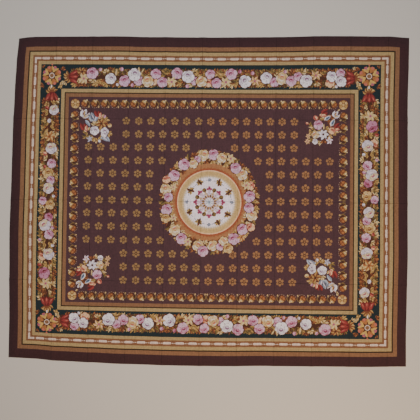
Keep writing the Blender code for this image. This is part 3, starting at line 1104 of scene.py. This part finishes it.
SHORT_GARLAND = (
    ("gold leaves", 100, -1, 5.4, 90), ("red tulip", 95.5, -1, 6.6, -90),
    ("gold leaves", 87, 3, 3.6, 160), ("red bud", 83, 1.5, 3.0, 150), ("rust leaves", 74, -5, 3.6, 0),
    ("ivory rose", 82, -3.5, 4.8, 0), ("gold leaves", 72, 4, 3.4, 170), ("white bud", 74, 0, 3.0, 250),
    ("rust leaves", 66, -4, 4.0, 10), ("brown leaves", 62, 5, 3.8, 170), ("gold lily", 57.5, 0, 6.1, 0),
    ("rust leaves", 50, 5, 3.8, 180), ("ivory rose", 46.5, -2, 5.3, 0), ("rust leaves", 38, -4, 3.8, -10),
    ("coral bud", 41, 2, 3.2, 160), ("olive leaves", 31, 4, 3.8, 170), ("pink rose", 32.5, -2.5, 4.2, 0),
    ("gold rose", 23.5, 1, 5.2, 0), ("red bud", 28, 3, 2.6, 120), ("gold leaves", 20, -6, 3.6, 0),
    ("pink rose", 17, -2, 4.0, 0), ("olive leaves", 14, 5, 3.6, 180), ("ivory rose", 9.5, 0, 5.1, 0),
    ("white bud", 3, -3.5, 2.2, -20), ("pink rose", -2, 5, 3.8, 0), ("gold rose", -5.5, -2, 4.5, 0),
    ("olive leaves", -11, 4, 4.0, 170), ("rust leaves", -12, -5, 3.8, 0), ("rose rose", -17, -1, 4.0, 0),
    ("pink bud", -26, -3, 2.6, -20), ("ivory rose", -24.5, 2.5, 5.5, 0),
    ("olive leaves", -38, 2, 4.2, 170), ("pink rose", -33, -1.5, 4.4, 0),
    ("brown leaves", -43, 4, 4.0, 190), ("pink bud", -38.5, 5.5, 2.4, 160),
    ("white bud", -42.5, -3.5, 2.4, -20), ("peach rose", -53.5, 4.5, 3.6, 0),
    ("ivory rose", -51, -1.5, 5.3, 0), ("gold leaves", -60, 0, 4.4, 190), ("red bud", -61.5, 5, 2.8, 160),
    ("brown leaves", -64.5, -4.5, 4.0, 0), ("rose rose", -68.5, 2.5, 5.3, 0),
    ("rust leaves", -74, -5, 3.8, -20), ("cream lily", -78, 1, 5.8, 0), ("rust leaves", -85, 1, 4.0, 200),
    ("cream leaves", -86, -2, 3.0, 0), ("gold leaves", -100, 0, 5.2, -90),
    ("red tulip", -95.5, -0.5, 6.6, 90),
)

# %% Corner flower and the leaves beside it
CORNER_X, CORNER_Y = 1.479, 1.155
CORNER_SIZE = 0.094
CORNER_PETALS = 8


def corner_flower():
    """The large round flower of a corner: red tips behind eight petals, each half yellow, half orange."""
    motif = [("umber", disc(0.93, 16))]
    for k in range(CORNER_PETALS):
        angle = TURN * (k + 0.5) / CORNER_PETALS
        motif.append(("rose" if k % 2 else "coral", petal(angle, 0.55, 1.0, 0.24)))
        motif.append(("coral", crescent(1.0, 0.12, angle - 0.15, angle + 0.15, 3)))
    for k in range(CORNER_PETALS):
        light, dark = ("corner yellow", "orange") if k % 2 else ("orange", "corner yellow")
        angle = TURN * k / CORNER_PETALS
        motif += placed(leaf(light, dark, 0.80, 0.56, 0.0), *polar(0.20, angle), 1.0, 45 * k)
        motif += placed(leaf("rust", "umber", 0.34, 0.14, 0.0), *polar(0.30, angle), 1.0, 45 * k)
    return motif + [("umber", lobed(8, 0.46, 0.34, TURN / 16, 2)), ("pearl", disc(0.29, 12)),
                    ("tan", disc(0.215, 8)), ("coral", disc(0.1, 6, 0.0, 1.12))]


# centimetres right, centimetres up, size in centimetres, degrees, what
CORNER_LEAVES = (
    (10.5, 5.0, 4.0, 60, "rust leaves"), (9.5, -6.0, 3.6, -60, "cream leaves"),
    (-8.0, -9.0, 3.6, 200, "rust leaves"), (8.0, -9.5, 3.4, -60, "gold leaves"),
    (-8.0, 8.0, 2.6, 130, "rust leaves"),
)
CORNER_STALK, STALK_WIDTH = ((0.0, -0.085), (0.0, -0.115)), 0.012
print("a corner flower is", len(corner_flower()), "outlines")

# %% Garlands round the corners
GARLAND_X, GARLAND_Y = middle_of_band(GARLAND_BAND)
LONG_SLIDE, LONG_DROP = 0.024, 0.009
LONG_RUN, SHORT_RUN = 128, 92
LONG_SEED, SHORT_SEED = 700, 900
TABLE_STRETCH = 1.01
LEAF_MIX = ("rust leaves", "gold leaves", "brown leaves", "olive leaves", "rust leaves", "cream leaves",
            "brown leaves", "rust leaves")
# centimetres towards the outside, step along, size
LEAF_ROWS = ((-1.8, 4.6, 5.0), (2.2, 4.6, 5.0), (5.2, 4.0, 4.6), (-5.4, 4.0, 4.4))
LEAF_SWING = 35
UNEVEN_STEP = (0.8, 1.2)
GROUND_STEP, GROUND_RADIUS, GROUND_SHIFT = 5.5, 0.060, -0.002


def garland(table, seed, half_run):
    """One garland along +X, outer side towards +Y: dark ground, rows of ragged leaves, then the table."""
    chance = random.Random(seed)
    motif = []
    for k in range(round(2 * half_run / GROUND_STEP) + 1):
        x = (k * GROUND_STEP - half_run) / 100
        motif.append(("umber", disc(GROUND_RADIUS, 8, x, GROUND_SHIFT)))
    for row, step, size in LEAF_ROWS:
        facing = math.copysign(90, row)
        along = -half_run
        while along < half_run:
            kind = chance.choice(LEAF_MIX)
            spray = garland_piece(kind, chance.random())
            spray = placed(spray, size=size / 100, turn=facing + chance.uniform(-LEAF_SWING, LEAF_SWING))
            motif += placed(spray, along / 100, row / 100)
            along += step * chance.uniform(*UNEVEN_STEP)
    for number, (kind, right, out, size, turn) in enumerate(table):
        piece = garland_piece(kind, seed + number)
        motif += placed(piece, TABLE_STRETCH * right / 100, out / 100, size / 100, turn)
    return motif


long_garland = garland(LONG_GARLAND, LONG_SEED, LONG_RUN)
# The short table runs upwards with the outside on the left, so its turns are given for the upright rug.
upright = [(kind, along, out, size, turn - 90) for kind, along, out, size, turn in SHORT_GARLAND]
short_garland = garland(upright, SHORT_SEED, SHORT_RUN)
drawing += placed(long_garland, LONG_SLIDE, GARLAND_Y - LONG_DROP)
drawing += placed(long_garland, -LONG_SLIDE, LONG_DROP - GARLAND_Y, turn=180)
drawing += placed(short_garland, -GARLAND_X, 0.0, turn=90)
drawing += placed(short_garland, GARLAND_X, 0.0, turn=-90)

corner = []
for x, y, size, turn, kind in CORNER_LEAVES:
    corner += placed(garland_piece(kind, int(10 * x)), x / 100, y / 100, size / 100, turn)
corner += strip("white", CORNER_STALK, STALK_WIDTH)
corner += placed(corner_flower(), size=CORNER_SIZE)
for side_x, side_y, turn, flip in ((-1, 1, 0, 1), (1, -1, 180, 1), (1, 1, 180, -1), (-1, -1, 0, -1)):
    drawing += placed(corner, side_x * CORNER_X, side_y * CORNER_Y, turn=turn, flip=flip)
print("the whole drawing:", len(drawing), "outlines,", sum(len(o) for _, o in drawing), "points")

# %% [markdown]
# ## From drawing to cloth
# Blender's constrained triangulation cuts the flat sheet along every outline at once. Each small
# triangle knows which outlines cover it, and the one painted last gives it its wool. The hidden lines
# are then dropped and the sheet is cut again along the borders between wools alone, so that the mesh
# holds only lines that can be seen. A grid of extra points follows the folds.

# %% Areas, corners and the grid of the folds
def signed_area(outline):
    """Area inside an outline, below zero if it runs clockwise."""
    return sum(ax * by - bx * ay for (ax, ay), (bx, by) in zip(outline, outline[1:] + outline[:1])) / 2


def counterclockwise(outline):
    """Blender's triangulation wants every outline this way round."""
    return outline if signed_area(outline) > 0 else outline[::-1]


def rounded(x, y):
    """A point to a hundredth of a millimetre, so that equal points are found again."""
    return round(x, 5), round(y, 5)


def fold_grid():
    """Points inside the cloth that follow the folds and the wandering edges."""
    xs = stations(HALF_LENGTH, FOLDS_ALONG_Y)[1:-1]
    ys = stations(HALF_WIDTH, FOLDS_ALONG_X)[1:-1]
    return [Vector((x, y)) for x in xs for y in ys]


# %% Divide the sheet
SAME_POINT = 1e-6
STRAIGHT_SHARE = 0.25


def thinned(points, borders, kept_points, knot):
    """Merge border points closer than a knot, and drop those in the middle of a straight run."""
    keys = {}
    number = []
    for x, y in points:
        key = (x, y) if rounded(x, y) in kept_points else (round(x / knot), round(y / knot))
        number.append(keys.setdefault(key, len(keys)))
    merged = [None] * len(keys)
    fixed = [False] * len(keys)
    for old, new in enumerate(number):
        if merged[new] is None:
            merged[new] = points[old]
            fixed[new] = rounded(*points[old]) in kept_points
    near = [set() for _ in merged]
    for a, b in borders:
        a, b = number[a], number[b]
        if a != b:
            near[a].add(b)
            near[b].add(a)
    for k, (x, y) in enumerate(merged):
        if fixed[k] or len(near[k]) != 2:
            continue
        a, b = near[k]
        (ax, ay), (bx, by) = merged[a], merged[b]
        run = math.hypot(bx - ax, by - ay)
        off = abs((bx - ax) * (y - ay) - (by - ay) * (x - ax)) / max(run, 1e-9)
        if off < knot * STRAIGHT_SHARE and b not in near[a]:
            near[a].discard(k)
            near[b].discard(k)
            near[a].add(b)
            near[b].add(a)
            near[k] = set()
    used = [k for k in range(len(merged)) if near[k]]
    place = {k: n for n, k in enumerate(used)}
    return [merged[k] for k in used], [(place[a], place[b]) for a in used for b in near[a] if a < b]


def divide(outlines, knot):
    """Cut the sheet along its visible outlines: points, triangles, and the wool of each triangle."""
    points, faces = [], []
    for _, outline in outlines:
        faces.append(list(range(len(points), len(points) + len(outline))))
        points.extend(Vector(p) for p in counterclockwise(outline))
    first, _, pieces, _, _, sources = delaunay_2d_cdt(points, [], faces, 1, SAME_POINT, True)
    wools = np.array([WOOL_NUMBER[outlines[max(cover)][0]] for cover in sources])
    tris = np.array(pieces)
    edges = np.sort(np.concatenate((tris[:, [0, 1]], tris[:, [1, 2]], tris[:, [2, 0]])), axis=1)
    owners = np.tile(np.arange(len(tris)), 3)
    order = np.lexsort((edges[:, 1], edges[:, 0]))
    edges, owners = edges[order], owners[order]
    paired = np.all(edges[1:] == edges[:-1], axis=1)
    differs = wools[owners[1:]] != wools[owners[:-1]]
    lone = ~(np.append(paired, False) | np.insert(paired, 0, False))
    kept = np.concatenate((edges[:-1][paired & differs], edges[lone])).tolist()
    kept_points = {rounded(x, y) for _, band in outlines[:len(BANDS) + 1] for x, y in band}
    seen, borders = thinned([(p.x, p.y) for p in first], kept, kept_points, knot)
    seen = [Vector(p) for p in seen] + fold_grid()
    cut, _, parts, _, _, _ = delaunay_2d_cdt(seen, borders, [], 0, SAME_POINT, False)
    tree = BVHTree.FromPolygons([(p.x, p.y, 0.0) for p in first], pieces)
    down = Vector((0.0, 0.0, -1.0))
    dyed = []
    for a, b, c in parts:
        middle = (cut[a] + cut[b] + cut[c]) / 3
        hit = tree.ray_cast(Vector((middle.x, middle.y, 1.0)), down)[2]
        dyed.append(int(wools[hit]) if hit is not None else 0)
    return [(p.x, p.y) for p in cut], parts, dyed


FACE_KNOT = 0.0030
top_points, top_parts, top_wools = divide(drawing, FACE_KNOT)
print("the face of the cloth:", len(top_parts), "triangles")

# %% [markdown]
# The back of a tapestry shows the same picture the other way round. It is cut a little more coarsely:
# outlines smaller than a thumbnail are left out, because nobody sees them there, and a field flower is
# one six-cornered patch.

# %% The back
THUMBNAIL = 0.00060
BACK_KNOT = 0.0080
PATCH_SIZE = 0.9 * FLOWER_SIZE
back_drawing = [(wool, outline) for wool, outline in drawing if abs(signed_area(outline)) > THUMBNAIL]
for places in flower_places.values():
    back_drawing += [("sprig gold", disc(PATCH_SIZE, 6, x, y)) for x, y, _, _ in places]
back_points, back_parts, back_wools = divide(back_drawing, BACK_KNOT)
print("the back of the cloth:", len(back_parts), "triangles")

# %% [markdown]
# ## The closed sheet
# Face and back meet in a rounded edge: the two flat sides stop a millimetre short, and a line of points
# at half thickness stands at the full size. The result is one closed skin, 3 mm thick everywhere.

# %% Lay and close the sheet
EDGE_ROUNDING = 0.0010
MAP_SHARE = 0.998


def on_edge(u, v):
    """True for a point on the outer line of the cloth."""
    return abs(abs(u) - HALF_LENGTH) < 1e-5 or abs(abs(v) - HALF_WIDTH) < 1e-5


def laid_side(points, lift):
    """Lay one side of the cloth: places in space; points on the edge step in for the rounding."""
    shrink_u, shrink_v = 1 - EDGE_ROUNDING / HALF_LENGTH, 1 - EDGE_ROUNDING / HALF_WIDTH
    laid = []
    for u, v in points:
        if on_edge(u, v):
            place = laid_point(u * shrink_u, v * shrink_v)
        else:
            place = laid_point(u, v)
        place.z += lift
        laid.append(place)
    return laid


def edge_numbers(points):
    """Number of each point on the outer line, found by its place."""
    return {rounded(u, v): k for k, (u, v) in enumerate(points) if on_edge(u, v)}


def closed_sheet():
    """Join face, back and rounded edge into one mesh with its wool colours and its map."""
    top_count, back_count = len(top_points), len(back_points)
    places = laid_side(top_points, THICKNESS) + laid_side(back_points, 0.0)
    flat = list(top_points) + list(back_points)
    faces = [tuple(part) for part in top_parts]
    faces += [tuple(top_count + k for k in reversed(part)) for part in back_parts]
    wools = list(top_wools) + list(back_wools)
    upper, lower = edge_numbers(top_points), edge_numbers(back_points)
    ring = [rounded(u, v) for u, v in band_outline(HALF_LENGTH, HALF_WIDTH)]
    middle_start = top_count + back_count
    for u, v in ring:
        place = laid_point(u, v)
        place.z += THICKNESS / 2
        places.append(place)
        flat.append((u, v))
    for k, key in enumerate(ring):
        after = (k + 1) % len(ring)
        a, b = upper[key], upper[ring[after]]
        c, d = top_count + lower[key], top_count + lower[ring[after]]
        m, n = middle_start + k, middle_start + after
        faces += [(b, a, m, n), (n, m, c, d)]
        wools += [WOOL_NUMBER["claret"]] * 2
    mesh = bpy.data.meshes.new("aubusson rug")
    mesh.from_pydata(places, [], faces)
    corner_points = np.empty(len(mesh.loops), dtype=int)
    mesh.loops.foreach_get("vertex_index", corner_points)
    corners_of_face = np.array([len(face) for face in faces])
    colours = WOOL_COLOURS[np.repeat(np.array(wools), corners_of_face)]
    mesh.color_attributes.new("yarn", "FLOAT_COLOR", "CORNER").data.foreach_set("color", colours.ravel())
    full = np.array([2 * HALF_LENGTH, 2 * HALF_WIDTH])
    plan = np.array(flat)[corner_points] / full * MAP_SHARE + 0.5
    mesh.uv_layers.new(name="OFBake").data.foreach_set("uv", plan.ravel())
    return mesh


rug_mesh = closed_sheet()
bm = bmesh.new()
bm.from_mesh(rug_mesh)
open_edges = sum(1 for edge in bm.edges if len(edge.link_faces) != 2)
volume = bm.calc_volume()
bm.free()
rug_mesh.polygons.foreach_set("use_smooth", [True] * len(rug_mesh.polygons))
print(len(rug_mesh.polygons), "faces,", open_edges, "open edges,", round(1000 * volume, 1), "litres")

# %% [markdown]
# ## The look of the wool
# Colour comes from the wool of each area. Two things vary it, as they do in the real cloth: slow
# stripes along the weft where one dye lot ends, and a fine mottle from hand-spun yarn. Thin dark lines
# of painted shade run along the crests of the folds. The relief is a ribbed tapestry weave: the warps
# run along the rug and the wefts are beaten down over them, so the cloth shows rows of small beads.

# %% Shader maths
class Wire:
    """A socket that can be added, multiplied and so on, each time with one Math node."""

    def __init__(self, socket):
        self.socket = socket

    def math(self, operation, *values):
        made = node(self.socket.id_data, "ShaderNodeMath", {"operation": operation}, *values)
        return Wire(made.outputs["Value"])

    def __add__(self, other):
        return self.math("ADD", self, other)

    def __radd__(self, other):
        return self.math("ADD", other, self)

    def __sub__(self, other):
        return self.math("SUBTRACT", self, other)

    def __rsub__(self, other):
        return self.math("SUBTRACT", other, self)

    def __mul__(self, other):
        return self.math("MULTIPLY", self, other)

    def __rmul__(self, other):
        return self.math("MULTIPLY", other, self)

    def __truediv__(self, other):
        return self.math("DIVIDE", self, other)

    def __rtruediv__(self, other):
        return self.math("DIVIDE", other, self)

    def sin(self):
        return self.math("SINE", self)

    def abs(self):
        return self.math("ABSOLUTE", self)

    def above(self, other):
        return self.math("MAXIMUM", self, other)

    def below(self, other):
        return self.math("MINIMUM", self, other)


# %% Woven wool
WARP_PITCH = 0.0042
WEFT_PITCH = 0.0019
# width and darkness of the thin lines of painted shade along the fold crests
FOLD_SHADE_WIDTH = 0.0045
PAINTED_FOLD_SHADE = 0.42
# how strongly stripes, streaks, mottle and single fibres change the colour
ABRASH, WEFT_STREAKS, MOTTLE, FIBRE = 0.10, 0.20, 0.42, 0.12
# how fine each of them is; stripes and streaks are also drawn out along the weft
STRIPE_SCALE, STREAK_SCALE, MOTTLE_SCALE, FIBRE_SCALE = 1.0, 11.0, 70.0, 420.0
ALONG_WEFT = (9.0, 0.8, 1.0)
# how much ribs, beads and fibres stand up, and how deep all of it is
RIB_RELIEF, BEAD_RELIEF, FIBRE_RELIEF, BEAD_SHIFT = 0.6, 0.3, 1.4, 1.2
RELIEF_STRENGTH, RELIEF_DEPTH = 0.35, 0.0006
ROUGHNESS, ROUGHNESS_GRAIN = 0.86, 0.16
SPECULAR, SHEEN, SHEEN_ROUGHNESS = 0.25, 0.12, 0.5


def noise(tree, vector, scale, detail):
    """Smooth random values round zero; a larger scale makes them finer."""
    made = node(tree, "ShaderNodeTexNoise", {"noise_dimensions": "3D"}, Vector=vector, Scale=scale,
                Detail=detail)
    return Wire(made.outputs["Fac"]) - 0.5


def painted_fold_shade(x, y):
    """Painted shade in a thin line along the crest of every fold, zero everywhere else."""
    painted_shade = None
    for across, folds in ((x, FOLDS_ALONG_Y), (y, FOLDS_ALONG_X)):
        for crest, _ in folds:
            line = (1.0 - (across - crest).abs() / FOLD_SHADE_WIDTH).above(0.0)
            painted_shade = line if painted_shade is None else painted_shade.above(line)
    return painted_shade


def build_wool(material):
    """Colour, relief and gloss of the woven wool; the wool of each area comes from the mesh."""
    material.use_nodes = True
    tree = material.node_tree
    place = node(tree, "ShaderNodeTexCoord").outputs["Object"]
    parts = node(tree, "ShaderNodeSeparateXYZ", Vector=place)
    x, y = Wire(parts.outputs["X"]), Wire(parts.outputs["Y"])
    yarn = node(tree, "ShaderNodeAttribute", {"attribute_name": "yarn"}).outputs["Color"]
    along_weft = node(tree, "ShaderNodeMapping", Vector=place, Scale=ALONG_WEFT).outputs["Vector"]
    stripes = noise(tree, along_weft, STRIPE_SCALE, 2.0)
    streaks = noise(tree, along_weft, STREAK_SCALE, 2.0)
    grain = noise(tree, place, MOTTLE_SCALE, 3.0)
    fibre = noise(tree, place, FIBRE_SCALE, 2.0)
    uneven = ABRASH * stripes + WEFT_STREAKS * streaks + MOTTLE * grain + FIBRE * fibre
    # the dark lines along the folds are painted shade, taken off the brightness of the wool
    light = 1.0 + 2.0 * uneven - PAINTED_FOLD_SHADE * painted_fold_shade(x, y)
    dyed = node(tree, "ShaderNodeVectorMath", {"operation": "SCALE"}, yarn, Scale=light)
    ribs = (y * (TURN / WARP_PITCH)).sin()
    beads = (x * (TURN / WEFT_PITCH) + ribs * BEAD_SHIFT).sin()
    height = RIB_RELIEF * ribs + BEAD_RELIEF * beads + FIBRE_RELIEF * fibre
    relief = node(tree, "ShaderNodeBump", Height=height, Strength=RELIEF_STRENGTH, Distance=RELIEF_DEPTH)
    rough = ROUGHNESS + ROUGHNESS_GRAIN * grain
    plug(tree.nodes["Principled BSDF"], Base_Color=dyed.outputs["Vector"], Normal=relief.outputs["Normal"],
         Roughness=rough.below(1.0), Specular_IOR_Level=SPECULAR, Sheen_Weight=SHEEN,
         Sheen_Roughness=SHEEN_ROUGHNESS, Metallic=0.0)


build_wool(woven_wool)
rug_mesh.materials.append(woven_wool)
rug = shown("rug_cloth", rug_mesh)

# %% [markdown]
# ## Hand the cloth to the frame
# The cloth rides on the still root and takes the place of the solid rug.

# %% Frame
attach(rug, "root")
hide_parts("rug")
print("rug_cloth stands for the solid rug")

# %% [markdown]
# ## Floor, camera and light
# The rug lies on a plain pale floor, and the camera stands almost straight above it. Most of the light
# comes softly from the ceiling. A cool window beyond the top edge and a warm lamp below the bottom edge
# tint the two halves a little.

# %% Stage
FLOOR_HALF = 6.0
FLOOR_COLOUR, FLOOR_ROUGHNESS = (0.62, 0.58, 0.53, 1.0), 0.7
ROOM_COLOUR, ROOM_STRENGTH = (0.55, 0.55, 0.56, 1.0), 0.25
# name, place, length and width, watts, colour
LIGHTS = (
    ("ceiling", (0.0, 0.25, 5.9), (1.6, 1.4), 232.0, (1.0, 0.96, 0.93)),
    ("window", (-0.2, 3.8, 3.5), (4.0, 1.6), 40.0, (0.70, 0.85, 1.0)),
    ("lamp", (1.5, -3.5, 3.0), (3.4, 1.6), 96.0, (1.0, 0.66, 0.34)),
)


def plain_floor():
    """One large pale square under the rug."""
    mesh = bpy.data.meshes.new("floor")
    corners = [(FLOOR_HALF * x, FLOOR_HALF * y, 0.0) for x, y in ((-1, -1), (1, -1), (1, 1), (-1, 1))]
    mesh.from_pydata(corners, [], [(0, 1, 2, 3)])
    material = bpy.data.materials.new("pale floor")
    material.use_nodes = True
    plug(material.node_tree.nodes["Principled BSDF"], Base_Color=FLOOR_COLOUR, Roughness=FLOOR_ROUGHNESS)
    mesh.materials.append(material)
    return shown("floor", mesh)


floor = plain_floor()

for name, place, size, watts, colour in LIGHTS:
    light = bpy.data.lights.new(name, "AREA")
    light.shape = "RECTANGLE"
    light.size, light.size_y = size
    light.energy = watts
    light.color = colour
    lamp = shown(name, light)
    lamp.location = place
    lamp.rotation_euler = (-Vector(place)).to_track_quat("-Z", "Y").to_euler()
world = bpy.data.worlds.new("room")
world.use_nodes = True
plug(world.node_tree.nodes["Background"], Color=ROOM_COLOUR, Strength=ROOM_STRENGTH)
bpy.context.scene.world = world
print(len(LIGHTS), "soft lights over a floor of", 2 * FLOOR_HALF, "m")

# %% Camera
FOCAL_LENGTH, FILM_WIDTH = 51.43, 36.0
CAMERA_PLACE = (0.2067, -0.2355, 5.5329)
CAMERA_TURN = (0.0261, 0.0323, 0.0118)
lens = bpy.data.cameras.new("camera")
lens.lens = FOCAL_LENGTH
lens.sensor_width = FILM_WIDTH
camera = shown("camera", lens)
camera.location = CAMERA_PLACE
camera.rotation_euler = CAMERA_TURN
bpy.context.scene.camera = camera
print("the camera is", CAMERA_PLACE[2], "m above the floor")
